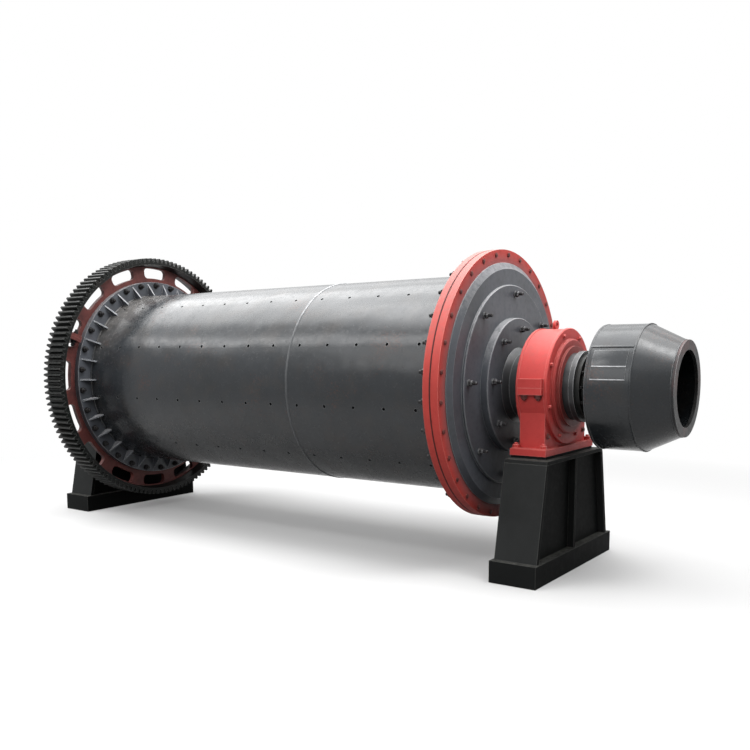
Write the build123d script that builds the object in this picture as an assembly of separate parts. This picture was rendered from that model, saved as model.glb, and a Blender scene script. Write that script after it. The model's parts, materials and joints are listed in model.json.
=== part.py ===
"""Ball mill, 1830 mm bore by 4420 mm shell, on two pedestals. Millimetres, +X along the mill
axis towards the feed mouth, +Z up, origin on the floor below the middle of the overall length."""

from build123d import *
from math import cos, degrees, radians, sin, tan
import os

# Shell
shell_bore_r = 915
shell_plate = 20
shell_len = 4420
seam_from_feed = 1588
axis_height = 1502

# Liner bolt holes in the shell
hole_r = 14
hole_rows = 11
hole_pitch = 307
first_hole_from_feed = 253
first_row_angle = 21.74
pin_overlap = 20

# Bolting flanges at both ends of the shell
cap_seat_width = 87
feed_flange_width = 108
drive_flange_width = 73
shell_flange_t = 62
cap_ring_t = 72
gusset_count = 30
first_gusset_angle = 0.2
gusset_len = 92
gusset_height = 140
gusset_toe = 12
gusset_t = 14
weld_gap = 0.2

# End caps
cap_depth = 38
cap_plate = 60
cap_bore_r = 250
shoulder_width = 52
shoulder_depth = 32
outer_step_r = 837
outer_step_t = 22
hub_r = 562
hub_t = 62
step_edge = 5

# Trunnions
journal_r = 270
trunnion_bore_r = 190
neck_fillet = 45
trunnion_end = 716
end_flange_r = 286
end_flange_t = 42
end_bolt_count = 12
end_bolt_hole_r = 11
end_bolt_circle_r = 232
end_bolt_depth = 70

# Feeder on the feed trunnion
feeder_plate = 14
neck_flange_r = 262
neck_flange_t = 36
feeder_neck_r = 208
feeder_back = 874
feeder_r = 490
feeder_body_len = 341
feeder_len = 621
mouth_r = 366
mouth_bore_r = 292
mouth_ring_t = 24

# Girth gear
module = 20
teeth = 134
pressure_angle = 20
gear_face = 280
rim_wall = 45
rim_edge_wall = 26
web_t = 50
window_count = 16
window_angle = 15
window_land = 47
window_margin = 12
window_round = 45
first_window_angle = 2.6
split_angle = 22.1
split_gap = 0.4
joint_plate_t = 33
joint_plate_margin = 20

# Bearing housings, one on each pedestal
feed_bearing_from_cap = 445
drive_bearing_from_cap = 362
housing_r = 464
housing_wall = 72
housing_width = 210
cover_lip = 6
cover_t = 24
cover_edge = 6
cover_step_r = 384
cover_step_t = 26
cover_crown = 12
cover_seal_r = 325
cover_seal_t = 20
bearing_width = 190
run_gap = 0.1
seal_gap = 3
block_inset = 44
base_width = 300
base_reach = 38
base_t = 52
base_below_barrel = 13
lug_height = 125
lug_proud = 36
lug_width = 200
lug_top = 72
eye_r = 38
eye_hole_r = 19
eye_t = 24
eye_rise = 32

# Pedestals
pedestal_offset = 28
sole_t = 23
sole_side_inset = 4
sole_end_inset = 10
column_width = 354
column_reach = 103
column_flare = 155
column_top_t = 30
end_plate_t = 40
recess = 55
rib_t = 34
plinth_side_margin = 17
plinth_end_margin = 56
plinth_height = 175

# Worked out from the sizes above
shell_r = shell_bore_r + shell_plate
pitch_r = module * teeth / 2
tip_r = pitch_r + module
dedendum = 1.25 * module
root_r = pitch_r - dedendum
rim_r = root_r - rim_wall
rim_edge_r = root_r - rim_edge_wall
cap_rim_r = shell_r + cap_seat_width
feed_flange_r = cap_rim_r + feed_flange_width
drive_flange_r = cap_rim_r + drive_flange_width
cap_front = cap_ring_t + cap_depth
window_inner_r = drive_flange_r + window_land
window_outer_r = rim_r - window_margin
feed_reach = cap_ring_t + feeder_back + feeder_len
drive_reach = web_t + cap_ring_t + trunnion_end
overall = shell_len + feed_reach + drive_reach
x_feed = overall / 2 - feed_reach
x_drive = x_feed - shell_len
x_seam = x_feed - seam_from_feed
x_feed_cap = x_feed + cap_ring_t
x_drive_cap = x_drive - web_t - cap_ring_t
x_gear = x_drive - web_t / 2
housing_bore_r = housing_r - housing_wall
cover_r = housing_r + cover_lip
block_half = housing_r - block_inset
lug_reach = housing_r + lug_proud
base_half = housing_r + base_reach
base_top_below_axis = housing_r + base_below_barrel
sole_half = base_half - sole_end_inset
column_half_top = sole_half + column_reach
column_half_bottom = column_half_top + column_flare
plinth_half = column_half_bottom + plinth_end_margin
column_top_z = axis_height - base_top_below_axis - base_t - sole_t
last_hole_room = shell_len - first_hole_from_feed - shell_flange_t - gusset_len
holes_in_row = 1 + int(last_hole_room // hole_pitch)

AXIS = Axis((0, 0, axis_height), (1, 0, 0))


def profile(points):
    """A closed outline of (x, r) points, on the plane through the mill axis."""
    return make_face(Polyline(*[(x, 0, axis_height + r) for x, r in points], close=True))


def turned(points):
    """A ring or shaft turned about the mill axis from an outline of (x, r) points."""
    return revolve(profile(points), AXIS, 360)


def tube(x0, x1, outer, inner):
    return turned([(x0, inner), (x1, inner), (x1, outer), (x0, outer)])


def around(part, angle):
    """A part turned about the mill axis by an angle in degrees."""
    return part.rotate(AXIS, angle)


def box(x0, x1, y0, y1, z0, z1):
    """A block between two corners."""
    size = (x1 - x0, y1 - y0, z1 - z0)
    return Pos((x0 + x1) / 2, (y0 + y1) / 2, (z0 + z1) / 2) * Box(*size)


def across(x0, x1, sketch):
    """An outline drawn as (y, z about the mill axis), drawn out from x0 to x1."""
    plane = Plane(origin=(x0, 0, axis_height), x_dir=(0, 1, 0), z_dir=(1, 0, 0))
    return extrude(plane * sketch, x1 - x0)


def polar(r, angle):
    """A point on a circle in the (y, z) plane, the angle counted up from the -Y side."""
    a = radians(angle)
    return (-r * cos(a), r * sin(a))


def liner_holes():
    """Every liner bolt hole of the shell, as radial pins to cut with."""
    pins = []
    start_r = shell_bore_r - pin_overlap
    for row in range(hole_rows):
        y, z = polar(1, first_row_angle + row * 360 / hole_rows)
        for n in range(holes_in_row):
            x = x_feed - first_hole_from_feed - n * hole_pitch
            start = (x, y * start_r, axis_height + z * start_r)
            plane = Plane(origin=start, z_dir=(0, y, z))
            pins.append((x, extrude(plane * Circle(hole_r), shell_plate + 2 * pin_overlap)))
    return pins


def shell_can(x0, x1, pins):
    can = tube(x0, x1, shell_r, shell_bore_r)
    near = [pin for x, pin in pins if x0 < x < x1]
    return can - near


def drive_flange():
    """The shell's ring at the gear end with its triangular gussets."""
    x_face = x_drive + shell_flange_t
    ring = tube(x_drive, x_face, drive_flange_r, shell_r)
    rib = profile(
        [
            (x_face, shell_r + weld_gap),
            (x_face + gusset_len, shell_r + weld_gap),
            (x_face + gusset_len, shell_r + gusset_toe),
            (x_face, shell_r + gusset_height),
        ]
    )
    rib = extrude(rib, gusset_t / 2, dir=(0, 1, 0), both=True)
    first = 90 - first_gusset_angle
    ribs = [around(rib, first + n * 360 / gusset_count) for n in range(gusset_count)]
    return ring + ribs


def end_cap(x_seat, way):
    """The stepped end plate with its rim, seated at x_seat and facing along way."""
    inner_r = cap_rim_r - cap_plate
    step = cap_front + outer_step_t
    outline = [
        (0, cap_rim_r),
        (0, inner_r),
        (cap_front - cap_plate, inner_r),
        (cap_front - cap_plate, cap_bore_r),
        (cap_front, cap_bore_r),
        (cap_front, hub_r),
        (step, hub_r),
        (step, outer_step_r - step_edge),
        (step - step_edge, outer_step_r),
        (cap_front, outer_step_r),
        (cap_front, cap_rim_r - shoulder_width),
        (cap_front - shoulder_depth, cap_rim_r),
    ]
    return turned([(x_seat + way * x, r) for x, r in outline])


def end_bolt_holes(x0, x1):
    """The bolt holes between a trunnion's end and what is bolted to it, to cut with."""
    circle = Sketch() + PolarLocations(end_bolt_circle_r, end_bolt_count) * Circle(end_bolt_hole_r)
    return across(x0, x1, circle)


def trunnion(x_seat, way):
    """The hollow shaft with its hub disc on the cap and the collar at its outer end."""
    face = cap_front + outer_step_t + hub_t
    end = cap_ring_t + trunnion_end
    outline = [
        (cap_front, trunnion_bore_r),
        (cap_front, hub_r),
        (face - step_edge, hub_r),
        (face, hub_r - step_edge),
        (face, journal_r + neck_fillet),
        (face + neck_fillet, journal_r),
        (end - end_flange_t, journal_r),
        (end - end_flange_t, end_flange_r),
        (end, end_flange_r),
        (end, trunnion_bore_r),
    ]
    shaft = turned([(x_seat + way * x, r) for x, r in outline])
    ends = sorted((x_seat + way * (end - end_bolt_depth), x_seat + way * end))
    return shaft - end_bolt_holes(*ends)


def rim_bore():
    """The space inside the gear rim, wider at both edges than at the web, to cut with."""
    half_face = gear_face / 2
    half_web = web_t / 2
    outline = [
        (-half_face, 0),
        (-half_face, rim_edge_r),
        (-half_web, rim_r),
        (half_web, rim_r),
        (half_face, rim_edge_r),
        (half_face, 0),
    ]
    return turned([(x_gear + x, r) for x, r in outline])


def tooth_ring():
    """The gear rim with its teeth, one outline drawn along the axis round the bore."""
    pitch = 360 / teeth
    slope = tan(radians(pressure_angle))
    tip_half = pitch / 4 - degrees(module / pitch_r) * slope
    root_half = pitch / 4 + degrees(dedendum / pitch_r) * slope
    corners = []
    for n in range(teeth):
        middle = n * pitch
        corners += [
            polar(root_r, middle - root_half),
            polar(tip_r, middle - tip_half),
            polar(tip_r, middle + tip_half),
            polar(root_r, middle + root_half),
        ]
    outline = make_face(Polyline(*corners, close=True))
    return across(x_gear - gear_face / 2, x_gear + gear_face / 2, outline) - rim_bore()


def window():
    """One opening of the gear web, an annular slot with round corners."""
    a0 = first_window_angle - window_angle / 2
    a1 = first_window_angle + window_angle / 2
    middle = first_window_angle
    lines = Curve() + [
        ThreePointArc(
            polar(window_outer_r, a0), polar(window_outer_r, middle), polar(window_outer_r, a1)
        ),
        Line(polar(window_outer_r, a1), polar(window_inner_r, a1)),
        ThreePointArc(
            polar(window_inner_r, a1), polar(window_inner_r, middle), polar(window_inner_r, a0)
        ),
        Line(polar(window_inner_r, a0), polar(window_outer_r, a0)),
    ]
    face = make_face(lines)
    return fillet(face.vertices(), window_round)


def gear_web():
    """The disc between the bolting flanges and the rim, with its windows."""
    disc = Circle(rim_r) - Circle(shell_bore_r)
    slot = window()
    slots = [slot.rotate(Axis.Z, n * 360 / window_count) for n in range(window_count)]
    return across(x_gear - web_t / 2, x_gear + web_t / 2, disc - slots)


def joint_plates(way):
    """The two plates that close one half of the gear along the split line."""
    bar = Pos(0, way * (split_gap + joint_plate_t) / 2) * Rectangle(2 * rim_edge_r, joint_plate_t)
    bar = bar - Circle(window_inner_r)
    reach = gear_face / 2 - joint_plate_margin
    return around(across(x_gear - reach, x_gear + reach, bar), -split_angle) & rim_bore()


def halves(ring):
    """A ring cut along the gear's split line, as its upper and its lower half."""
    reach = 2 * tip_r
    cutter = box(x_gear - gear_face, x_gear + gear_face, -reach, reach, -reach, reach)
    upper = Pos(0, 0, axis_height + reach + split_gap / 2) * cutter
    lower = Pos(0, 0, axis_height - reach - split_gap / 2) * cutter
    return ring & around(upper, -split_angle), ring & around(lower, -split_angle)


def feeder():
    """The pieces of the feeder drum, from the trunnion's end to the mouth."""
    start = x_feed + cap_ring_t + trunnion_end
    back = x_feed_cap + feeder_back
    join = back + feeder_body_len
    mouth = back + feeder_len
    ring = mouth - mouth_ring_t
    wall = feeder_plate
    neck = turned(
        [
            (start, trunnion_bore_r),
            (back, trunnion_bore_r),
            (back, feeder_neck_r),
            (start + neck_flange_t, feeder_neck_r),
            (start + neck_flange_t, neck_flange_r),
            (start, neck_flange_r),
        ]
    )
    cone = [(join, feeder_r - wall), (join, feeder_r), (ring, mouth_r), (ring, mouth_r - wall)]
    return {
        "feeder_neck": neck - end_bolt_holes(start, start + neck_flange_t),
        "feeder_back_plate": tube(back, back + wall, feeder_r, trunnion_bore_r),
        "feeder_drum": tube(back + wall, join, feeder_r, feeder_r - wall),
        "feeder_cone": turned(cone),
        "feeder_mouth": tube(ring, mouth, mouth_r, mouth_bore_r),
    }


def bearing_cover(x, way):
    """One round cover of a housing centred at x, on the side that way points to."""
    seal_r = journal_r + seal_gap
    seat = housing_width / 2
    face = seat + cover_t
    step = face + cover_step_t
    seal = step + cover_seal_t
    outline = [
        (seat, seal_r),
        (seat, cover_r),
        (face - cover_edge, cover_r),
        (face, cover_r - cover_edge),
        (face, cover_step_r),
        (step - cover_crown, cover_step_r),
        (step, cover_step_r - cover_crown),
        (step, cover_seal_r),
        (seal, cover_seal_r),
        (seal, seal_r),
    ]
    return turned([(x + way * a, r) for a, r in outline])


def bearing(name, x, out):
    """The housing, covers and roller ring of one bearing, centred at x; out points off the drum."""
    half = housing_width / 2
    barrel = Circle(housing_r)
    bore = Circle(housing_bore_r)
    above = Pos(0, housing_r) * Rectangle(4 * housing_r, 2 * housing_r)
    below = Pos(0, -base_top_below_axis / 2) * Rectangle(4 * housing_r, base_top_below_axis)
    block = Pos(0, -base_top_below_axis / 2) * Rectangle(2 * block_half, base_top_below_axis)
    foot_middle = -base_top_below_axis - base_t / 2
    foot = Pos(0, foot_middle) * Rectangle(2 * base_half, base_t)
    lug_low = lug_height - lug_top
    upper_lugs = Pos(0, lug_top / 2) * Rectangle(2 * lug_reach, lug_top)
    lower_lugs = Pos(0, -lug_low / 2) * Rectangle(2 * lug_reach, lug_low)
    eye = Pos(0, housing_r + eye_rise) * (Circle(eye_r) - Circle(eye_hole_r))

    def centred(width, sketch):
        return across(x - width / 2, x + width / 2, sketch)

    cap = centred(housing_width, (barrel & above) - bore)
    cap += centred(lug_width, upper_lugs - bore) + centred(eye_t, eye - bore)
    body = centred(housing_width, ((barrel & below) + block) - bore)
    body += centred(lug_width, lower_lugs - bore) + centred(base_width, foot)
    ring = tube(x - bearing_width / 2, x + bearing_width / 2, housing_bore_r, journal_r + run_gap)
    return {
        name + "_bearing_cap": cap,
        name + "_bearing_base": body,
        name + "_bearing_inner_cover": bearing_cover(x, -out),
        name + "_bearing_outer_cover": bearing_cover(x, out),
        name + "_bearing_ring": ring,
    }


def pedestal(name, x):
    """The sole plate, the welded column and the plinth of one pedestal, centred at x."""
    half = column_width / 2
    top = column_top_z
    under = top - column_top_t
    low = plinth_height
    slope = (column_half_bottom - column_half_top) / (top - low)
    half_low = column_half_bottom
    half_under = column_half_top + slope * column_top_t
    plinth_side = half + plinth_side_margin
    plinth = box(x - plinth_side, x + plinth_side, -plinth_half, plinth_half, 0, low)
    lid = box(x - half, x + half, -column_half_top, column_half_top, under, top)

    def upright(x0, x1, corners):
        """A plate with a sloping outline given as (y, z) corners, drawn out from x0 to x1."""
        plane = Plane(origin=(x0, 0, 0), x_dir=(0, 1, 0), z_dir=(1, 0, 0))
        return extrude(plane * make_face(Polyline(*corners, close=True)), x1 - x0)

    def side(way):
        inner_low = way * (half_low - end_plate_t)
        inner_under = way * (half_under - end_plate_t)
        corners = [
            (way * half_low, low),
            (way * half_under, under),
            (inner_under, under),
            (inner_low, low),
        ]
        return upright(x - half, x + half, corners)

    web_low = half_low - end_plate_t
    web_under = half_under - end_plate_t
    web = [(-web_low, low), (web_low, low), (web_under, under), (-web_under, under)]
    sole_middle = x - pedestal_offset
    sole_side = base_width / 2 - sole_side_inset
    sole_x = (sole_middle - sole_side, sole_middle + sole_side)
    return {
        name + "_sole_plate": box(*sole_x, -sole_half, sole_half, top, top + sole_t),
        name + "_column_top": lid,
        name + "_column_left_side": side(-1),
        name + "_column_right_side": side(1),
        name + "_column_web": upright(x - half + recess, x + half - recess, web),
        name + "_column_front_rib": box(x + half - recess, x + half, -rib_t / 2, rib_t / 2, low, under),
        name + "_column_back_rib": box(x - half, x - half + recess, -rib_t / 2, rib_t / 2, low, under),
        name + "_plinth": plinth,
    }


def build():
    pins = liner_holes()
    rim_upper, rim_lower = halves(tooth_ring())
    web_upper, web_lower = halves(gear_web())
    web_upper += joint_plates(1)
    web_lower += joint_plates(-1)
    parts = {
        "feed_shell_can": shell_can(x_seam, x_feed, pins),
        "drive_shell_can": shell_can(x_drive, x_seam, pins),
        "feed_shell_flange": tube(x_feed - shell_flange_t, x_feed, feed_flange_r, shell_r),
        "drive_shell_flange": drive_flange(),
        "feed_cap_ring": tube(x_feed, x_feed_cap, feed_flange_r, cap_rim_r),
        "drive_cap_ring": tube(x_drive_cap, x_drive - web_t, drive_flange_r, cap_rim_r),
        "feed_end_cap": end_cap(x_feed, 1),
        "drive_end_cap": end_cap(x_drive - web_t, -1),
        "feed_trunnion": trunnion(x_feed, 1),
        "drive_trunnion": trunnion(x_drive - web_t, -1),
        "girth_gear_upper_rim": rim_upper,
        "girth_gear_lower_rim": rim_lower,
        "girth_gear_upper_web": web_upper,
        "girth_gear_lower_web": web_lower,
    }
    parts.update(feeder())
    for name, x, out in (
        ("feed", x_feed_cap + feed_bearing_from_cap, 1),
        ("drive", x_drive_cap - drive_bearing_from_cap, -1),
    ):
        parts.update(bearing(name, x, out))
        parts.update(pedestal(name, x + pedestal_offset))
    return parts


os.makedirs("parts", exist_ok=True)
for node, shape in build().items():
    shape.label = node
    export_step(shape, f"parts/{node}.step")
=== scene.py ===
# %% [markdown]
# # A ball mill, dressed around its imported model
#
# A ball mill is a steel drum that turns slowly on two hollow shafts and grinds ore with loose
# steel balls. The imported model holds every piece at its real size. This lesson adds the finish:
# paints, cast and machined steel, the bolts and studs, the weld seams, and a plain studio.

# %% Load the frame
import json
import math

import bmesh
import bpy
from mathutils import Matrix, Vector, noise


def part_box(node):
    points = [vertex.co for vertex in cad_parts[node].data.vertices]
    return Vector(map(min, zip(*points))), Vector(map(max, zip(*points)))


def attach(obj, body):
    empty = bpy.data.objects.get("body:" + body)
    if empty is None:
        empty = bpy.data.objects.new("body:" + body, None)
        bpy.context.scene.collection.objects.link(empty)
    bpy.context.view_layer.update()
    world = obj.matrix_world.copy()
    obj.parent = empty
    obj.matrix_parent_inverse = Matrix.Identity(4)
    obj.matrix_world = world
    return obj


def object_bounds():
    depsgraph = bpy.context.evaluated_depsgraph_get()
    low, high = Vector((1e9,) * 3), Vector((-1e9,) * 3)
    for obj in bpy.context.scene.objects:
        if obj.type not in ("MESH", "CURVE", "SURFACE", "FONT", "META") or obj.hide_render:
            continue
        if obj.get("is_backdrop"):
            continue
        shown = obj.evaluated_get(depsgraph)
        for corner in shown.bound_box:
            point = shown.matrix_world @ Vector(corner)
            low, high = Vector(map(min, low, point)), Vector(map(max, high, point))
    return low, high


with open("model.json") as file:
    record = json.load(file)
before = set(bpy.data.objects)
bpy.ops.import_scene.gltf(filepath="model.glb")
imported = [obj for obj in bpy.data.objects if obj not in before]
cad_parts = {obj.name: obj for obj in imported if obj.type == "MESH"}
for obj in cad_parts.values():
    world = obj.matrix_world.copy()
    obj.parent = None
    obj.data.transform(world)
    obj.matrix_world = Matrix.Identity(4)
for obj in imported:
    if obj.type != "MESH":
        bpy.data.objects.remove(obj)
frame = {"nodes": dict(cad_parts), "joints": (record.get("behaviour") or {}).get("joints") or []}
nodes = frame["nodes"]
scene = bpy.context.scene
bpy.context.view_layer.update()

# %% [markdown]
# The mill axis is the one line that everything is set out from. Its height comes from the
# joint, and the stations along it come from the boxes of the nodes. So each bolt and bead below
# sits on the face of the piece that carries it, and no place is typed in twice.

# %% Lines and stations
MM = 0.001
AXIS_Z = frame["joints"][0]["pos_m"][2]
SHELL_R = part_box("feed_shell_can")[1].y
FEED_FLANGE_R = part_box("feed_cap_ring")[1].y
FEED_FLANGE_BACK, FEED_SEAM = (end.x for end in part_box("feed_shell_flange"))
FEED_RING_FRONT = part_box("feed_cap_ring")[1].x
FEED_STEP_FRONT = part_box("feed_end_cap")[1].x
CAN_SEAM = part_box("feed_shell_can")[0].x
DRIVE_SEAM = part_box("drive_shell_can")[0].x
DRIVE_FLANGE_FACE = DRIVE_SEAM + FEED_SEAM - FEED_FLANGE_BACK
DRIVE_RING_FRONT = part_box("drive_cap_ring")[0].x
DRIVE_STEP_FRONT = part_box("drive_end_cap")[0].x
FEEDER_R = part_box("feeder_drum")[1].y
FEEDER_FROM, FEEDER_TO = (end.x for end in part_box("feeder_drum"))
print("shell", round(FEED_SEAM - DRIVE_SEAM, 3), "m long, radius", round(SHELL_R, 3))

# %% [markdown]
# The camera stands on the feed side, a little above the axis. Its place, direction and lens
# were fitted to the holes in the shell, which lie on known rows, and to the round edges. The
# place is counted from the ring of holes nearest the feed flange. The photograph is cropped, so
# its optical centre lies left of and below the picture's middle, and the lens shift says how
# far. Yaw is counted from +X towards +Y, pitch is up, and roll turns the picture about the line
# of sight.

# %% Camera
PICTURE = 750
FOCAL_PIXELS = 836.33
OPTICAL_CENTRE = (345, 450)
FIRST_HOLE_FROM_FEED = 0.253
ALONG, ASIDE, ABOVE = 3.5093, -6.560, 0.287
CAMERA_AT = Vector((FEED_SEAM - FIRST_HOLE_FROM_FEED + ALONG, ASIDE, AXIS_Z + ABOVE))
YAW, PITCH, ROLL = (math.radians(a) for a in (126.723, -6.689, -0.296))

camera_data = bpy.data.cameras.new("camera")
camera_data.sensor_width = 36
camera_data.lens = camera_data.sensor_width * FOCAL_PIXELS / PICTURE
camera_data.shift_x = 0.5 - OPTICAL_CENTRE[0] / PICTURE
camera_data.shift_y = OPTICAL_CENTRE[1] / PICTURE - 0.5
camera = bpy.data.objects.new("camera", camera_data)
turn = (
    Matrix.Rotation(YAW - math.pi / 2, 4, "Z")
    @ Matrix.Rotation(math.pi / 2 + PITCH, 4, "X")
    @ Matrix.Rotation(ROLL, 4, "Z")
)
camera.matrix_world = Matrix.Translation(CAMERA_AT) @ turn
scene.collection.objects.link(camera)
scene.camera = camera
scene.view_settings.view_transform = "Standard"
print("camera at", [round(v, 3) for v in CAMERA_AT], "lens", round(camera_data.lens, 2), "mm")

# %% [markdown]
# Colours are picked as sRGB hex values, the way a paint chart gives them. Blender's shaders work
# in linear light, so one function turns each value. A second small function adds a node to a
# material with its settings and its links, which keeps each finish below readable.

# %% Colour and node helpers
def linear(hex_value):
    """An sRGB hex string as a linear colour with full alpha."""
    channels = [int(hex_value[i : i + 2], 16) / 255 for i in (1, 3, 5)]
    turned = [c / 12.92 if c <= 0.04045 else ((c + 0.055) / 1.055) ** 2.4 for c in channels]
    return (*turned, 1)


def add(tree, kind, settings=None, links=None):
    """A new node. Settings are its properties and sockets, links come from other sockets."""
    made = tree.nodes.new("ShaderNode" + kind)
    for name, value in (settings or {}).items():
        if isinstance(name, str) and hasattr(made, name):
            setattr(made, name, value)
        else:
            made.inputs[name].default_value = value
    for name, source in (links or {}).items():
        tree.links.new(source, made.inputs[name])
    return made


print("#808080 is", round(linear("#808080")[0], 3), "in linear light")

# %% [markdown]
# Wear and dirt, and some painted light and shade, follow patterns that all the finishes share.
# Painted images would need every piece unwrapped, and noises on the object's own coordinates need
# nothing, so the patterns are noises, sized in millimetres: clouds in the film, drifts of grease,
# smears from hands and rags, rust spots, and the fields that the spots gather in. The Bevel node
# finds the edges: it rounds the normal near them, so there it no longer agrees with the face. The
# finishes paint the edges lighter, partly where paint thins and partly as a painted highlight for
# the bright line that a rounded edge catches. That line is finer than the 10 mm here, but at this
# distance it wouldn't show. What faces up gets dust and sheen: dust on the stand and the red, a
# painted highlight on the cap steps and the shell weld, and both on the shell near the gear. Sides
# are the faces that look sideways from the mill axis, which the primer paints lighter as painted
# light. Reach is the distance from that axis with a ragged border, for what depends on it, such as
# the painted shade inside the mouth.

# %% Patterns
# Each noise is its size in mm, its detail and its roughness.
NOISES = {
    "clouds": (600, 6, 0.6),
    "drifts": (230, 5, 0.55),
    "smears": (45, 8, 0.7),
    "spots": (16, 4, 0.5),
    "fields": (330, 3, 0.5),
}
# Each of these is two patterns multiplied.
PRODUCTS = {
    # What faces up: dust on some finishes, a painted highlight on others.
    "dust_and_sheen": ("upward", "smears"),
    "rust": ("spots", "fields"),
    # On the shell near the gear: partly dust, partly a painted highlight.
    "gear_end_dust_and_sheen": ("dust_and_sheen", "near gear"),
}
EDGE_WIDTH = 10 * MM
GEAR_DUST_AND_SHEEN_REACH = 0.75
RAGGED = 0.06


def wear_patterns(tree, place):
    """The sockets of a material's patterns by name. Reach is in metres, the others up to 1."""
    patterns = {}
    for title, (size_mm, detail, roughness) in NOISES.items():
        settings = {"Scale": 1000 / size_mm, "Detail": detail, "Roughness": roughness}
        patterns[title] = add(tree, "TexNoise", settings, {"Vector": place}).outputs["Fac"]
    normal = add(tree, "NewGeometry").outputs["Normal"]
    # Edges, which the finishes paint lighter: partly worn paint, partly a painted highlight.
    rounded = add(tree, "Bevel", {"samples": 4, "Radius": EDGE_WIDTH}).outputs["Normal"]
    alike = add(tree, "VectorMath", {"operation": "DOT_PRODUCT"}, {0: normal, 1: rounded})
    patterns["edges"] = alike.outputs["Value"]
    faced = add(tree, "SeparateXYZ", {}, {0: normal})
    patterns["upward"] = faced.outputs["Z"]
    # Sides, which the primer paints lighter as painted light on the faces that look sideways.
    sides = add(tree, "Math", {"operation": "ABSOLUTE"}, {0: faced.outputs["Y"]})
    patterns["sides"] = sides.outputs[0]
    along = add(tree, "SeparateXYZ", {}, {0: place}).outputs["X"]
    ends = {"From Min": DRIVE_SEAM + GEAR_DUST_AND_SHEEN_REACH, "From Max": DRIVE_SEAM}
    patterns["near gear"] = add(tree, "MapRange", ends, {"Value": along}).outputs["Result"]
    for title, (first, second) in PRODUCTS.items():
        both = {0: patterns[first], 1: patterns[second]}
        patterns[title] = add(tree, "Math", {"operation": "MULTIPLY"}, both).outputs[0]
    settings = {"operation": "MULTIPLY_ADD", 1: (0, 1, 1), 2: (0, 0, -AXIS_Z)}
    spoke = add(tree, "VectorMath", settings, {0: place}).outputs["Vector"]
    reach = add(tree, "VectorMath", {"operation": "LENGTH"}, {0: spoke}).outputs["Value"]
    settings = {"operation": "MULTIPLY_ADD", 1: RAGGED}
    ragged = add(tree, "Math", settings, {0: patterns["drifts"], 2: reach})
    patterns["reach"] = ragged.outputs[0]
    return patterns


noise_sizes = [size_mm for size_mm, detail, roughness in NOISES.values()]
print("noises from", min(noise_sizes), "to", max(noise_sizes), "mm")

# %% [markdown]
# Every finish is built in the same order. A base colour comes first. Over it lie layers, each
# with its pattern, the value where it starts to show, the value where it shows in full, the most
# of it that shows, and its colour. Then comes the gloss, a specular level and a roughness that
# the smears vary. The relief comes last, as noises with a size in millimetres, a detail, a depth
# in millimetres and a strength. Sprayed enamel always has a little orange peel. Its real waves
# are about 2 mm, and the grain of castings, bolts and welds is finer still. Neither would show at
# this distance, so both are drawn a few times coarser than they are.

# %% The finish function
SMEAR_LOW, SMEAR_HIGH = 0.3, 0.75
SMOOTHER, ROUGHER = 0.06, 0.12
ORANGE_PEEL = (7, 2, 0.6, 0.06)
finishes = {}


def finish(name, base, gloss, layers, relief, metallic=0.0):
    """A material from a base colour, gloss, colour layers and relief layers."""
    made = bpy.data.materials.new(name)
    made.use_nodes = True
    tree = made.node_tree
    shader = tree.nodes["Principled BSDF"]
    specular, roughness = gloss
    shader.inputs["Metallic"].default_value = metallic
    shader.inputs["Specular IOR Level"].default_value = specular
    place = add(tree, "TexCoord").outputs["Object"]
    patterns = wear_patterns(tree, place)
    colour = None
    for title, nothing_at, all_at, most, tint in layers:
        ends = {"From Min": nothing_at, "From Max": all_at, "To Max": most}
        share = add(tree, "MapRange", ends, {"Value": patterns[title]}).outputs["Result"]
        settings, links = {"data_type": "RGBA", 6: linear(base), 7: linear(tint)}, {0: share}
        if colour:
            links[6] = colour
        colour = add(tree, "Mix", settings, links).outputs[2]
    tree.links.new(colour, shader.inputs["Base Color"])
    ends = {"From Min": SMEAR_LOW, "From Max": SMEAR_HIGH}
    ends |= {"To Min": roughness - SMOOTHER, "To Max": roughness + ROUGHER}
    sheen = add(tree, "MapRange", ends, {"Value": patterns["smears"]})
    tree.links.new(sheen.outputs["Result"], shader.inputs["Roughness"])
    bumped = None
    for size_mm, detail, depth_mm, strength in relief:
        settings = {"Scale": 1000 / size_mm, "Detail": detail}
        links = {"Height": add(tree, "TexNoise", settings, {"Vector": place}).outputs["Fac"]}
        if bumped:
            links["Normal"] = bumped
        settings = {"Strength": strength, "Distance": depth_mm * MM}
        bumped = add(tree, "Bump", settings, links).outputs["Normal"]
    tree.links.new(bumped, shader.inputs["Normal"])
    finishes[name] = made
    print("finish", name)


# %% [markdown]
# The shell and the feeder are rolled plate under grey machine enamel. The film is cloudy, a
# little brown here and green there, and greasy smears darken it. Rolled plate is never quite
# true, so a long shallow waver bends what it reflects, and that is what makes it look rolled.

# %% Grey enamel on rolled plate
finish(
    "grey_plate_enamel",
    "#26292c",
    (0.32, 0.22),
    [
        # Lighter where it faces up near the gear: partly dust, partly a painted highlight.
        ("gear_end_dust_and_sheen", 0.06, 0.4, 0.55, "#8c8884"),
        ("clouds", 0.42, 0.68, 0.6, "#1a1c1d"),
        ("drifts", 0.5, 0.72, 0.4, "#35302c"),
        ("smears", 0.5, 0.78, 0.15, "#1b1e20"),
        ("rust", 0.35, 0.42, 0.35, "#4d3229"),
        # Edges painted light: partly worn paint, partly a painted highlight.
        ("edges", 0.97, 0.8, 0.5, "#8b8d8e"),
    ],
    [(300, 1, 9, 0.9), (900, 1, 22, 0.9)],
)

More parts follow.
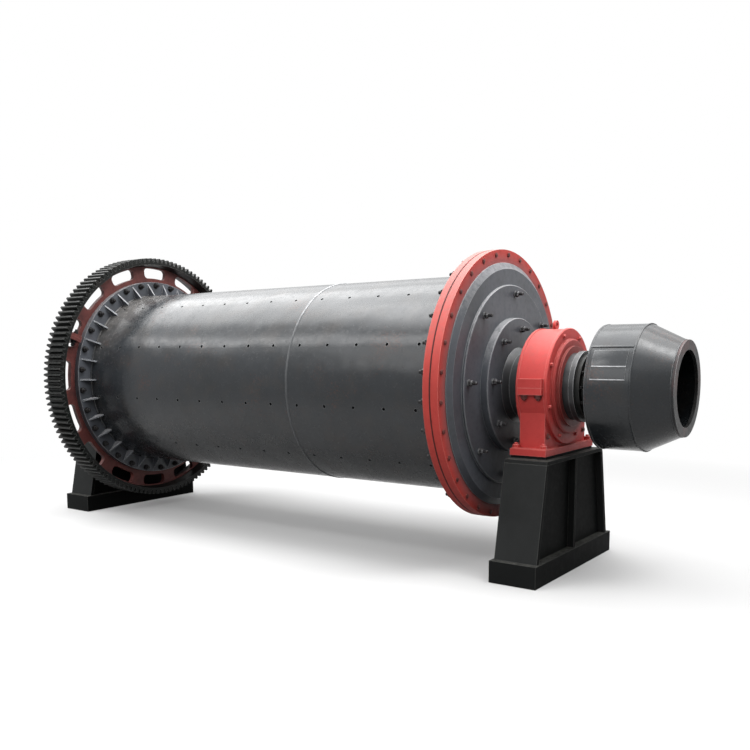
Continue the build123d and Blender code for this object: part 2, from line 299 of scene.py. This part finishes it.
# %% [markdown]
# The caps and trunnions are castings, turned smooth and given a lighter and duller coat of the
# same grey. What faces up on their steps is painted lighter, a painted highlight for the sky that
# the shoulders reflect, and the edges are painted bright, partly where cloths and slings rub and
# partly as a painted highlight. The hubs are painted darker towards the journals, partly grease
# that creeps out of the bearings and partly painted shade on the dark neck.

# %% Grey enamel on castings
finish(
    "grey_cap_enamel",
    "#505359",
    (0.3, 0.36),
    [
        ("clouds", 0.42, 0.68, 0.6, "#303335"),
        ("smears", 0.5, 0.78, 0.4, "#2c2e31"),
        ("rust", 0.36, 0.43, 0.2, "#4d3229"),
        # Painted highlight: what faces up, such as the shoulder tops, is painted lighter.
        ("dust_and_sheen", 0.15, 0.4, 0.6, "#a9a8aa"),
        # Darker towards the journals: partly grease, partly painted shade on the neck.
        ("reach", 0.66, 0.36, 0.45, "#262a2b"),
        ("reach", 0.37, 0.33, 0.65, "#1c1f1e"),
        # Edges painted bright: partly rubbed paint, partly a painted highlight.
        ("edges", 0.985, 0.86, 0.7, "#b0b2b4"),
    ],
    [ORANGE_PEEL, (200, 2, 6, 0.6)],
)

# %% [markdown]
# Flange rims and bearing housings are the machine's red, a coat that has gone dull outdoors. The
# flanges are turned plate, and the grey that was sprayed on the caps has drifted over their inner
# edge. The housings are sand castings, so their coat lies over a grain, and they are painted
# darker towards the middle, partly grease from the shafts and partly painted shade round the
# covers. Fine dust whitens the tops of both, and their edges are painted lighter, partly worn and
# partly a painted highlight.

# %% Red enamels
finish(
    "red_flange_enamel",
    "#b5423c",
    (0.18, 0.5),
    [
        ("clouds", 0.45, 0.72, 0.5, "#86302b"),
        ("smears", 0.5, 0.8, 0.35, "#7a2a27"),
        ("rust", 0.36, 0.43, 0.25, "#5a2a22"),
        ("reach", 1.15, 1.05, 0.6, "#6a595a"),
        ("dust_and_sheen", 0.1, 0.5, 0.75, "#8b6964"),
        # Edges painted light: partly worn paint, partly a painted highlight.
        ("edges", 0.97, 0.8, 0.5, "#d98a80"),
    ],
    [ORANGE_PEEL],
)
finish(
    "red_cast_enamel",
    "#bb413e",
    (0.2, 0.48),
    [
        ("clouds", 0.45, 0.72, 0.35, "#9a3330"),
        ("smears", 0.5, 0.8, 0.3, "#8c2c2b"),
        ("dust_and_sheen", 0.2, 0.6, 0.45, "#8f6863"),
        # Darker towards the middle: partly grease, partly painted shade round the covers.
        ("reach", 0.46, 0.35, 0.7, "#4b2a27"),
        # Edges painted light: partly worn paint, partly a painted highlight.
        ("edges", 0.97, 0.8, 0.5, "#da8f88"),
    ],
    [ORANGE_PEEL, (9, 5, 2.2, 0.4)],
)

# %% [markdown]
# The gear's web wears the same red under gear oil and soot, which turn it maroon, and some bolt
# heads and nuts wear the same darker red. The grease gathers in drifts, so the coat is patchy
# rather than even.

# %% Greasy red enamel
finish(
    "maroon_web_enamel",
    "#61332f",
    (0.3, 0.5),
    [
        ("drifts", 0.45, 0.7, 0.8, "#34191a"),
        ("smears", 0.48, 0.75, 0.6, "#2b1717"),
        # Edges painted light: partly worn paint, partly a painted highlight.
        ("edges", 0.97, 0.8, 0.35, "#a5605a"),
    ],
    [ORANGE_PEEL],
)

# %% [markdown]
# The pedestals are welded boxes in dull black primer, which hardly shines. The faces that look
# sideways are painted lighter as painted light, most of all those of the end plates and the lid,
# which get a lighter copy of the primer. The recessed parts get less of it and stay black, as
# painted shade, and cement dust lies on every ledge.

# %% Black primer
# Two copies: a lighter one for the side plates and lid, a darker one, painted shade, for the rest.
for name, side_light_share in (("black_frame_primer", 0.35), ("side_lit_frame_primer", 1.0)):
    finish(
        name,
        "#0c0d0d",
        (0.03, 0.6),
        [
            # Painted light: faces that look sideways are painted lighter.
            ("sides", 0.6, 0.9, side_light_share, "#2e2f2f"),
            ("clouds", 0.45, 0.7, 0.3, "#111212"),
            ("smears", 0.55, 0.8, 0.3, "#242422"),
            ("dust_and_sheen", 0.3, 0.7, 0.7, "#5a5a57"),
            # Edges painted light: partly worn primer, partly a painted highlight.
            ("edges", 0.97, 0.8, 0.4, "#6a6b68"),
        ],
        [ORANGE_PEEL],
    )

# %% [markdown]
# The gear is cast steel, bare and wet with gear oil: almost black, with a dull shine on the tips,
# and its edges are painted lighter, partly worn and partly a painted highlight. Bolts come black
# from the works, and the ends and edges of the studs on the caps are painted bright, partly worn
# steel and partly a painted highlight. The ring inside each bearing is ground steel, fine and
# bright.

# %% Gear, bolts and bearing steel
finish(
    "oiled_cast_steel",
    "#121413",
    (0.16, 0.42),
    [
        ("smears", 0.45, 0.75, 0.7, "#0a0b0a"),
        ("drifts", 0.5, 0.75, 0.3, "#2a221f"),
        # Edges painted light: partly worn steel, partly a painted highlight.
        ("edges", 0.97, 0.8, 0.4, "#6c6e6c"),
    ],
    [(6, 4, 1.6, 0.4)],
)
finish(
    "black_bolt_steel",
    "#161617",
    (0.2, 0.5),
    [("smears", 0.4, 0.7, 0.6, "#231f1e")],
    [(2, 4, 0.4, 0.4)],
)
finish(
    "worn_stud_steel",
    "#1d1d1f",
    (0.4, 0.45),
    # Stud ends and edges painted bright: partly worn steel, partly a painted highlight.
    [("smears", 0.4, 0.7, 0.6, "#2f2a29"), ("edges", 0.9, 0.72, 0.8, "#9c9d9f")],
    [(2, 4, 0.4, 0.4)],
    metallic=0.3,
)
finish(
    "ground_steel",
    "#9a9c9e",
    (0.5, 0.25),
    [("smears", 0.4, 0.7, 0.7, "#84868a")],
    [(2, 4, 0.1, 0.4)],
    metallic=1.0,
)

# %% [markdown]
# The weld round the shell is painted over, and is painted pale in its ripples where they face up,
# a painted highlight along the top of the bead. The welds on the feeder's patch are light grey
# metal, partly scraped bare and partly a painted highlight. The packing shows as a dark line
# between the two rings of the feed flange, under a little red paint. The mouth of the feeder has
# lost most of its paint to the ore that runs past it, so rust shows through. Its edges are painted
# lighter, partly worn and partly a painted highlight, and just inside it is painted near black, as
# painted shade.

# %% Welds, packing and the worn mouth
finish(
    "painted_weld",
    "#3f4143",
    (0.35, 0.4),
    # Painted highlight: the bead is painted pale where it faces up.
    [("smears", 0.4, 0.7, 0.5, "#2c2d2f"), ("dust_and_sheen", 0.24, 0.46, 0.8, "#97989a")],
    [(4, 4, 1.2, 0.3)],
)
# Light grey patch welds: partly bare steel, partly a painted highlight.
finish(
    "scraped_and_sheen_weld",
    "#8e8f91",
    (0.5, 0.4),
    [("smears", 0.4, 0.7, 0.7, "#636466"), ("drifts", 0.45, 0.7, 0.5, "#636466")],
    [(4, 4, 1.2, 0.3)],
    metallic=0.5,
)
finish(
    "joint_packing",
    "#4a1d1b",
    (0.2, 0.7),
    [("smears", 0.4, 0.7, 0.7, "#2b1413")],
    [(3, 4, 0.4, 0.4)],
)
finish(
    "worn_mouth_enamel",
    "#1d1e20",
    (0.25, 0.45),
    [
        ("drifts", 0.46, 0.62, 0.7, "#4a302e"),
        ("smears", 0.5, 0.75, 0.5, "#201b1a"),
        # Edges painted light: partly worn paint, partly a painted highlight.
        ("edges", 0.97, 0.8, 0.6, "#9b9c9c"),
        # Painted shade: near black just inside the mouth.
        ("reach", 0.33, 0.322, 0.95, "#050505"),
    ],
    [ORANGE_PEEL, (6, 4, 1.0, 0.4)],
)

# %% [markdown]
# Every carried-over node gets one of these finishes, by the words in its name. The rims of the
# flanges, the bearings and the gear's web are red, the shell and its ends grey, the gear bare,
# and what is left is the black of the pedestals. The first line that fits a name counts.

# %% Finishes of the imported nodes
COATS = [
    ("feeder_mouth", "worn_mouth_enamel"),
    ("feeder_neck", "oiled_cast_steel"),
    ("feeder_", "grey_plate_enamel"),
    ("shell_can", "grey_plate_enamel"),
    ("drive_shell_flange", "grey_cap_enamel"),
    ("end_cap", "grey_cap_enamel"),
    ("trunnion", "grey_cap_enamel"),
    ("feed_shell_flange", "red_flange_enamel"),
    ("cap_ring", "red_flange_enamel"),
    ("upper_web", "maroon_web_enamel"),
    ("lower_web", "maroon_web_enamel"),
    ("_rim", "oiled_cast_steel"),
    ("bearing_ring", "ground_steel"),
    ("bearing_", "red_cast_enamel"),
    # Painted light: the side plates and lid get the lighter copy of the primer.
    ("_side", "side_lit_frame_primer"),
    ("column_top", "side_lit_frame_primer"),
    ("", "black_frame_primer"),
]
for name, node in nodes.items():
    coat = next(coat for word, coat in COATS if word in name)
    node.data.materials.clear()
    node.data.materials.append(finishes[coat])
print(len(nodes), "nodes finished")

# %% [markdown]
# Every new piece ends the same way. Its faces are turned outwards, its mesh gets a finish and
# smooth shading that stops at sharp edges, and it rides on a body.

# %% Finished pieces
def piece(name, bm, coat, body, crease):
    """A mesh as an object with a finish, sharp past the crease angle in degrees, on a body."""
    bmesh.ops.recalc_face_normals(bm, faces=bm.faces[:])
    mesh = bpy.data.meshes.new(name)
    bm.to_mesh(mesh)
    bm.free()
    mesh.materials.append(finishes[coat])
    mesh.shade_smooth()
    mesh.set_sharp_from_angle(angle=math.radians(crease))
    made = bpy.data.objects.new(name, mesh)
    scene.collection.objects.link(made)
    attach(made, body)
    print(name, len(mesh.polygons), "faces")


# %% [markdown]
# A bolted joint shows as a ring of like fasteners. Each is a stack of short cones: a round
# washer, a six-sided nut or head with its corners taken off, and the end of the bolt. They could
# be instances of one bolt, but a ring in one mesh rides on its body as one piece and stays a plain
# mesh when it is exported. So Blender's cone operator makes each layer in place, turned and moved
# by a matrix. Nobody lines nuts up, so each one on a ring is turned by another amount.

# %% Fasteners
# Each layer is its sides, height, low radius and high radius in mm, from the seat up.
HEX_HEAD = [(6, 8, 20, 20), (6, 3, 20, 15)]
NUT_AND_END = [(16, 6, 33, 33), (6, 22, 27, 27), (6, 4, 27, 22)]
NUT_AND_END += [(12, 22, 15, 15), (12, 3, 15, 12)]
STUD = [(16, 6, 30, 30), (6, 24, 25, 25), (6, 4, 25, 20)]
STUD += [(12, 38, 13.5, 13.5), (12, 3, 13.5, 10)]
SMALL_HEAD = [(16, 3, 17, 17), (6, 11, 14, 14), (6, 3, 14, 11)]
SHORT_NUT = [(16, 6, 36, 36), (6, 22, 29, 29), (6, 4, 29, 23)]
SHORT_NUT += [(12, 10, 15, 15), (12, 3, 15, 12)]
OIL_PLUG = [(16, 4, 24, 24), (6, 12, 17, 17), (6, 3, 17, 13)]
NUT_TURN = 1.3
NUT_CREASE = 35


def facing(at, direction, turn=0.0):
    """One place that faces along a direction."""
    tilt = Vector(direction).to_track_quat("Z", "Y").to_matrix().to_4x4()
    return Matrix.Translation(Vector(at)) @ tilt @ Matrix.Rotation(turn, 4, "Z")


def on_circle(x, radius, first, count, way):
    """Places on a circle about the mill axis, facing along way, angles counted up from -Y."""
    places = []
    for n in range(count):
        angle = math.radians(first + n * 360 / count)
        at = (x, -radius * math.cos(angle), AXIS_Z + radius * math.sin(angle))
        places.append(facing(at, (way, 0, 0), NUT_TURN * n * n))
    return places


def fasteners(name, kind, places, coat, body):
    """One mesh with a fastener of a kind at each place."""
    bm = bmesh.new()
    for place in places:
        seat = 0.0
        for sides, height, low, high in kind:
            middle = Matrix.Translation((0, 0, (seat + height / 2) * MM))
            bmesh.ops.create_cone(
                bm,
                cap_ends=True,
                segments=sides,
                radius1=low * MM,
                radius2=high * MM,
                depth=height * MM,
                matrix=place @ middle,
            )
            seat += height
    piece(name, bm, coat, body, NUT_CREASE)


print("a stud stands out", sum(height for _, height, _, _ in STUD), "mm")

# %% [markdown]
# The shell and the end caps meet in flanges with 30 bolts each. The heads show on the cap's
# ring, and the nuts behind it. At the gear end the web is clamped in the same joint, so its nuts
# sit between the gussets.

# %% Flange bolts
FLANGE_BOLTS = 30
FEED_BOLT_R, FEED_BOLT_ANGLE = 1.090, 7.0
DRIVE_BOLT_R, DRIVE_BOLT_ANGLE = 1.055, 6.2
fasteners(
    "feed_flange_bolt_heads",
    HEX_HEAD,
    on_circle(FEED_RING_FRONT, FEED_BOLT_R, FEED_BOLT_ANGLE, FLANGE_BOLTS, 1),
    "maroon_web_enamel",
    "drum",
)
fasteners(
    "feed_flange_nuts",
    NUT_AND_END,
    on_circle(FEED_FLANGE_BACK, FEED_BOLT_R, FEED_BOLT_ANGLE, FLANGE_BOLTS, -1),
    "black_bolt_steel",
    "drum",
)
fasteners(
    "gear_flange_nuts",
    NUT_AND_END,
    on_circle(DRIVE_FLANGE_FACE, DRIVE_BOLT_R, DRIVE_BOLT_ANGLE, FLANGE_BOLTS, 1),
    "black_bolt_steel",
    "drum",
)
fasteners(
    "drive_flange_bolt_heads",
    HEX_HEAD,
    on_circle(DRIVE_RING_FRONT, DRIVE_BOLT_R, DRIVE_BOLT_ANGLE, FLANGE_BOLTS, -1),
    "maroon_web_enamel",
    "drum",
)

# %% [markdown]
# The girth gear is cast in two halves, so that it can be put round the shell. At each end of the
# split line two plates meet across the rim, and two bolts, one on each side of the web, pull
# them together. Their nuts face along the rim, not along the axis.

# %% Gear joint bolts
GEAR_X = sum(end.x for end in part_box("girth_gear_upper_rim")) / 2
SPLIT_ANGLE, JOINT_BOLT_R, JOINT_BOLT_FROM_WEB, JOINT_PLATE = 22.1, 1.200, 0.070, 0.0332
places = []
for angle in (math.radians(SPLIT_ANGLE), math.radians(SPLIT_ANGLE + 180)):
    spoke = Vector((0, -math.cos(angle), math.sin(angle)))
    along = Vector((0, math.sin(angle), math.cos(angle)))
    for x in (GEAR_X - JOINT_BOLT_FROM_WEB, GEAR_X + JOINT_BOLT_FROM_WEB):
        middle = Vector((x, 0, AXIS_Z)) + spoke * JOINT_BOLT_R
        places += [facing(middle + along * way * JOINT_PLATE, along * way) for way in (1, -1)]
fasteners("gear_joint_bolts", NUT_AND_END, places, "black_bolt_steel", "drum")

# %% [markdown]
# The end liners inside each cap hang on studs that come through the plate. They show as two
# rings of eight nuts with the stud's end standing out, one on the step and one on the hub.

# %% End liner studs
STUDS_IN_RING = 8
OUTER_STUD_R, OUTER_STUD_ANGLE = 0.764, 3.0
INNER_STUD_R, INNER_STUD_ANGLE = 0.470, 5.0
HUB_FRONT = 0.062
for end, way, step in (("feed", 1, FEED_STEP_FRONT), ("drive", -1, DRIVE_STEP_FRONT)):
    hub = step + way * HUB_FRONT
    places = on_circle(step, OUTER_STUD_R, OUTER_STUD_ANGLE, STUDS_IN_RING, way)
    places += on_circle(hub, INNER_STUD_R, INNER_STUD_ANGLE, STUDS_IN_RING, way)
    fasteners(end + "_cap_studs", STUD, places, "worn_stud_steel", "drum")

# %% [markdown]
# The feeder hangs on the end of the feed trunnion. Twelve small bolts hold its neck flange, and
# they show only in the narrow gap between the bearing and the feeder.

# %% Feeder neck bolts
NECK_FLANGE = 0.036
NECK_BOLT_R, NECK_BOLTS = 0.232, 12
neck_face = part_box("feed_trunnion")[1].x + NECK_FLANGE
places = on_circle(neck_face, NECK_BOLT_R, 0, NECK_BOLTS, 1)
fasteners("feeder_neck_bolts", SMALL_HEAD, places, "black_bolt_steel", "drum")

# %% [markdown]
# Each bearing has eight small bolts in every cover. Under each side lug two nuts end the bolts
# that hold the cap down, four nuts hold the foot, and an oil plug sits low at each side of the
# outer face. Heights are counted down from the mill axis, sides from it, and places along from
# the middle of the bearing. Each lug nut and foot nut is turned by its place along.

# %% Bearing fasteners
HOUSING_WIDTH, COVER_THICKNESS = 0.210, 0.024
COVER_BOLT_R, COVER_BOLT_ANGLE, COVER_BOLTS = 0.427, 25, 8
BOLT_ASIDE = 0.462
LUG_BOLT_DOWN, LUG_BOLTS_ALONG = 0.053, (-0.055, 0.062)
FOOT_BOLT_DOWN, FOOT_BOLTS_ALONG = 0.477, (-0.115, 0.115)
PLUG_ASIDE, PLUG_DOWN = 0.37, 0.382
LUG_NUT_TURN = 5
for end, outward in (("feed", 1), ("drive", -1)):
    low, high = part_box(end + "_bearing_cap")
    middle = (low.x + high.x) / 2
    covers = []
    for way in (outward, -outward):
        face = middle + way * (high.x - low.x) / 2 + way * COVER_THICKNESS
        covers += on_circle(face, COVER_BOLT_R, COVER_BOLT_ANGLE, COVER_BOLTS, way)
    lugs, feet, plugs = [], [], []
    for side in (-1, 1):
        for along in LUG_BOLTS_ALONG:
            at = (middle + along, side * BOLT_ASIDE, AXIS_Z - LUG_BOLT_DOWN)
            lugs.append(facing(at, (0, 0, -1), along * LUG_NUT_TURN))
        for along in FOOT_BOLTS_ALONG:
            at = (middle + along, side * BOLT_ASIDE, AXIS_Z - FOOT_BOLT_DOWN)
            feet.append(facing(at, (0, 0, 1), along))
        at = (middle + outward * HOUSING_WIDTH / 2, side * PLUG_ASIDE, AXIS_Z - PLUG_DOWN)
        plugs.append(facing(at, (outward, 0, 0)))
    for kind, layers, places, coat, slot in (
        ("_cover_bolts", SMALL_HEAD, covers, "red_cast_enamel", "red_paint"),
        ("_lug_bolts", SHORT_NUT, lugs, "maroon_web_enamel", "gear_black"),
        ("_oil_plugs", OIL_PLUG, plugs, "maroon_web_enamel", "red_paint"),
        ("_foot_nuts", SHORT_NUT, feet, "red_cast_enamel", "red_paint"),
    ):
        fasteners(end + kind, layers, places, coat, "stand")

# %% [markdown]
# Where two rolled plates meet, the welder leaves a bead about 20 mm wide with ripples across it.
# A bump could draw it, but a bead shows in outline at the top of the drum, so it is a mesh. A
# small half-round profile is spun about the mill axis, and then the bead is moved by a little
# noise, so that it wanders and swells as a hand weld does. The edge of the packing between the
# feed flange's rings is the same shape without the noise.

# %% Bead function
BEAD_POINTS = 6
WANDER_SCALE, WANDER = 9.0, 0.004
RIPPLE_SCALE, RIPPLE = 60.0, 0.0016
SHELL_STEPS, FEEDER_STEPS = 420, 240
BEAD_CREASE = 60


def bead(name, rings, coat, steps=SHELL_STEPS, rough=1.0):
    """Beads about the mill axis from (x, radius, width, height) in metres."""
    bm = bmesh.new()
    for x, radius, width, height in rings:
        outline = []
        for n in range(BEAD_POINTS):
            turn_by = math.pi * n / (BEAD_POINTS - 1)
            across, up = math.cos(turn_by) * width / 2, math.sin(turn_by) * height
            outline.append(bm.verts.new((x - across, 0, AXIS_Z + radius + up)))
        edges = [bm.edges.new(pair) for pair in zip(outline, outline[1:])]
        bmesh.ops.spin(
            bm,
            geom=outline + edges,
            cent=(x, 0, AXIS_Z),
            axis=(1, 0, 0),
            angle=2 * math.pi,
            steps=steps,
            use_merge=True,
        )
    centre = Vector((0, 0, AXIS_Z))
    for vert in bm.verts:
        spoke = Vector((0, vert.co.y, vert.co.z)) - centre
        wander = noise.noise(vert.co * WANDER_SCALE) * WANDER * rough
        ripple = noise.noise(spoke * RIPPLE_SCALE) * RIPPLE * rough
        vert.co += spoke.normalized() * ripple + Vector((wander, 0, 0))
    piece(name, bm, coat, "drum", BEAD_CREASE)


# %% [markdown]
# The shell has one bead where its two cans meet, and a heavier one in the corner behind each
# flange. The feeder has one at its back plate, one at its shoulder and one at its mouth.

# %% Weld beads and packing
OFF_CORNER = 0.004
mouth_low, mouth_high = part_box("feeder_mouth")
bead("can_seam_weld", [(CAN_SEAM, SHELL_R, 0.026, 0.005)], "painted_weld")
packing = [(FEED_SEAM, FEED_FLANGE_R, 0.014, 0.0015)]
bead("feed_flange_packing", packing, "joint_packing", rough=0.0)
corners = [
    (FEED_FLANGE_BACK - OFF_CORNER, SHELL_R, 0.024, 0.014),
    (DRIVE_FLANGE_FACE + OFF_CORNER, SHELL_R, 0.02, 0.010),
]
bead("flange_welds", corners, "grey_plate_enamel")
joins = [
    (FEEDER_TO, FEEDER_R, 0.016, 0.005),
    (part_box("feeder_back_plate")[1].x, FEEDER_R, 0.012, 0.003),
    (mouth_low.x, mouth_high.y, 0.012, 0.004),
]
bead("feeder_welds", joins, "grey_plate_enamel", steps=FEEDER_STEPS)

# %% [markdown]
# The feeder drum is rolled from one sheet whose ends lap along a straight line, and below the
# lap a plate has been let in and welded over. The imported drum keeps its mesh, so nothing is cut
# into it, and each of these is a thin strip that follows it: one edge is spun about the axis
# through its angle, the sheet gets its thickness, and its rim is eased.

# %% Feeder lap and patch
SUNK = 0.001
RIM_ANGLE = math.radians(40)
EASED = 0.4
STRIP_CREASE = 30


def strip(name, stretches, coat):
    """Curved strips on the feeder from (x from, x to, angle from, angle to, thickness)."""
    bm = bmesh.new()
    for x_from, x_to, low_angle, high_angle, thick in stretches:
        others = {*bm.faces, *bm.edges}
        start = math.radians(low_angle)
        spoke = Vector((0, -math.cos(start), math.sin(start))) * (FEEDER_R - SUNK)
        ends = [bm.verts.new(Vector((x, 0, AXIS_Z)) + spoke) for x in (x_from, x_to)]
        edge = bm.edges.new(ends)
        bmesh.ops.spin(
            bm,
            geom=[*ends, edge],
            cent=(0, 0, AXIS_Z),
            axis=(-1, 0, 0),
            angle=math.radians(high_angle - low_angle),
            steps=max(2, round(high_angle - low_angle)),
        )
        sheet = [face for face in bm.faces if face not in others]
        bmesh.ops.recalc_face_normals(bm, faces=sheet)
        from_axis = sheet[0].calc_center_median() - Vector((x_from, 0, AXIS_Z))
        outward = sheet[0].normal.dot(from_axis) > 0
        bmesh.ops.solidify(bm, geom=sheet, thickness=-thick if outward else thick)
        own = [edge for edge in bm.edges if edge not in others]
        rim = [edge for edge in own if edge.calc_face_angle(0) > RIM_ANGLE]
        bmesh.ops.bevel(
            bm,
            geom=rim,
            offset=thick * EASED,
            segments=2,
            profile=0.5,
            affect="EDGES",
            material=-1,
        )
    piece(name, bm, coat, "drum", STRIP_CREASE)


PATCH_FROM, PATCH_TO = FEEDER_FROM + 0.03, FEEDER_TO - 0.035
LAP = (FEEDER_FROM, FEEDER_TO - 0.012, 39.0, 41.2, 0.007)
PATCH = (PATCH_FROM, PATCH_TO, 8.6, 36.4, 0.004)
LOW_WELD = (PATCH_FROM, PATCH_TO, 8.0, 9.2, 0.006)
HIGH_WELD = (PATCH_FROM, PATCH_TO, 19.6, 20.8, 0.0075)
strip("feeder_lap", [LAP], "grey_plate_enamel")
strip("feeder_patch", [PATCH], "grey_plate_enamel")
strip("feeder_patch_welds", [LOW_WELD, HIGH_WELD], "scraped_and_sheen_weld")

# %% [markdown]
# The floor is one large plane, and Light Path gives it two looks. The light that it sends back
# up comes from a dark ground, so that the underside of the drum stays dark as it does outdoors.
# To the camera and in gloss it is pale, keeps the mill's soft shadow, and fades with distance
# into the world's plain white, so that no horizon shows.

# %% Floor material
FLOOR_GROUND, FLOOR_PALE = "#595959", "#bcbcbc"
FADE_FROM, FADE_TO, LEAST_FADE = 2.5, 8.0, 0.15


def seen_by_eye(tree):
    """One socket that is 1 where the camera, a gloss or clear glass looks, and 0 elsewhere."""
    path = add(tree, "LightPath")
    seen = path.outputs["Is Camera Ray"]
    for ray in ("Is Glossy Ray", "Is Transmission Ray"):
        both = {0: seen, 1: path.outputs[ray]}
        seen = add(tree, "Math", {"operation": "MAXIMUM"}, both).outputs[0]
    return seen


floor_material = bpy.data.materials.new("studio_floor")
floor_material.use_nodes = True
tree = floor_material.node_tree
eye = seen_by_eye(tree)
tones = {6: linear(FLOOR_GROUND), 7: linear(FLOOR_PALE)}
tone = add(tree, "Mix", {"data_type": "RGBA", **tones}, {0: eye})
floor_shader = tree.nodes["Principled BSDF"]
floor_shader.inputs["Roughness"].default_value = 0.9
floor_shader.inputs["Specular IOR Level"].default_value = 0.0
tree.links.new(tone.outputs[2], floor_shader.inputs["Base Color"])
place = add(tree, "TexCoord").outputs["Object"]
distance = add(tree, "VectorMath", {"operation": "LENGTH"}, {0: place}).outputs["Value"]
ends = {"From Min": FADE_FROM, "From Max": FADE_TO, "To Min": LEAST_FADE}
far_off = add(tree, "MapRange", ends, {"Value": distance}).outputs["Result"]
fade = add(tree, "Math", {"operation": "MULTIPLY"}, {0: far_off, 1: eye}).outputs[0]
white = add(tree, "Emission", {"Strength": 1.0}).outputs["Emission"]
looks = {0: fade, 1: floor_shader.outputs["BSDF"], 2: white}
floor_look = add(tree, "MixShader", {}, looks)
tree.links.new(floor_look.outputs[0], tree.nodes["Material Output"].inputs["Surface"])
print("floor fades from", FADE_FROM, "to", FADE_TO, "m")

# %% [markdown]
# The plane is one face, so large that its edges lie far beyond the fade.

# %% Floor
FLOOR_HALF = 60
bm = bmesh.new()
bmesh.ops.create_grid(bm, x_segments=1, y_segments=1, size=FLOOR_HALF)
floor_mesh = bpy.data.meshes.new("floor")
bm.to_mesh(floor_mesh)
bm.free()
floor_mesh.materials.append(floor_material)
floor = bpy.data.objects.new("floor", floor_mesh)
scene.collection.objects.link(floor)
floor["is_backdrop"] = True
print("floor", 2 * FLOOR_HALF, "m across")

# %% [markdown]
# The world has two looks as the floor does: plain white for the eye and in gloss, and a dimmer
# even sky for the light that it gives.

# %% World
SKY_GIVEN, SKY_SEEN = "#919191", "#ffffff"
world = bpy.data.worlds.new("studio")
scene.world = world
world.use_nodes = True
tree = world.node_tree
tones = {6: linear(SKY_GIVEN), 7: linear(SKY_SEEN)}
sky = add(tree, "Mix", {"data_type": "RGBA", **tones}, {0: seen_by_eye(tree)})
tree.links.new(sky.outputs[2], tree.nodes["Background"].inputs["Color"])
print("world", SKY_GIVEN, "as light,", SKY_SEEN, "to look at")

# %% [markdown]
# Gloss enamel mirrors what is above it, so the pale bands along the shell are bright fields
# overhead, and lamps stand in for them. One wide and dim ceiling gives the even light. Four
# smaller and brighter ones hang level below it: a strip and an edge for the two bands on the
# shell, one for its right end, and one for the glints on the feeder. A wall of light high up in
# front lights the side that shows. Where a lamp ends, the band ends, so size and height matter
# more than power.

# %% Lights
# Each lamp is its middle and its two sides in metres, and how bright its face looks.
LEVEL_LAMPS = {
    "ceiling": ((-1.2, 0, 6.6), (17.5, 15.6), 1.4),
    "roof_strip": ((-0.9, 0.55, 6.5), (14.0, 4.9), 4.0),
    "roof_edge": ((-4.5, -4.7, 6.5), (9.0, 1.3), 7.5),
    "roof_right": ((-0.8, -1.4, 6.4), (3.6, 2.6), 4.0),
    "feeder_roof": ((5.0, -0.1, 6.4), (2.2, 1.2), 12.0),
}


def soft_light(name, at, towards, size, radiance):
    """A rectangular lamp, its power worked out from how bright its face looks."""
    data = bpy.data.lights.new(name, "AREA")
    data.shape = "RECTANGLE"
    data.size, data.size_y = size
    data.energy = radiance * math.pi * size[0] * size[1]
    lamp = bpy.data.objects.new(name, data)
    lamp.visible_camera = False
    aim = (Vector(towards) - Vector(at)).to_track_quat("-Z", "Y").to_matrix().to_4x4()
    lamp.matrix_world = Matrix.Translation(Vector(at)) @ aim
    scene.collection.objects.link(lamp)
    print("lamp", name, round(data.energy), "W")


for name, (at, size, radiance) in LEVEL_LAMPS.items():
    soft_light(name, at, (*at[:2], 0), size, radiance)
soft_light(
    "front_wall",
    at=(-1.0, -12.0, 7.2),
    towards=(-1.0, 0, 1.2),
    size=(15.0, 5.0),
    radiance=3.1,
)

# %% [markdown]
# The last step measures the dressed mill, which has to stay in the imported model's box.

low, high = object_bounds()
print("visual box", [round(v, 3) for v in (*low, *high)])
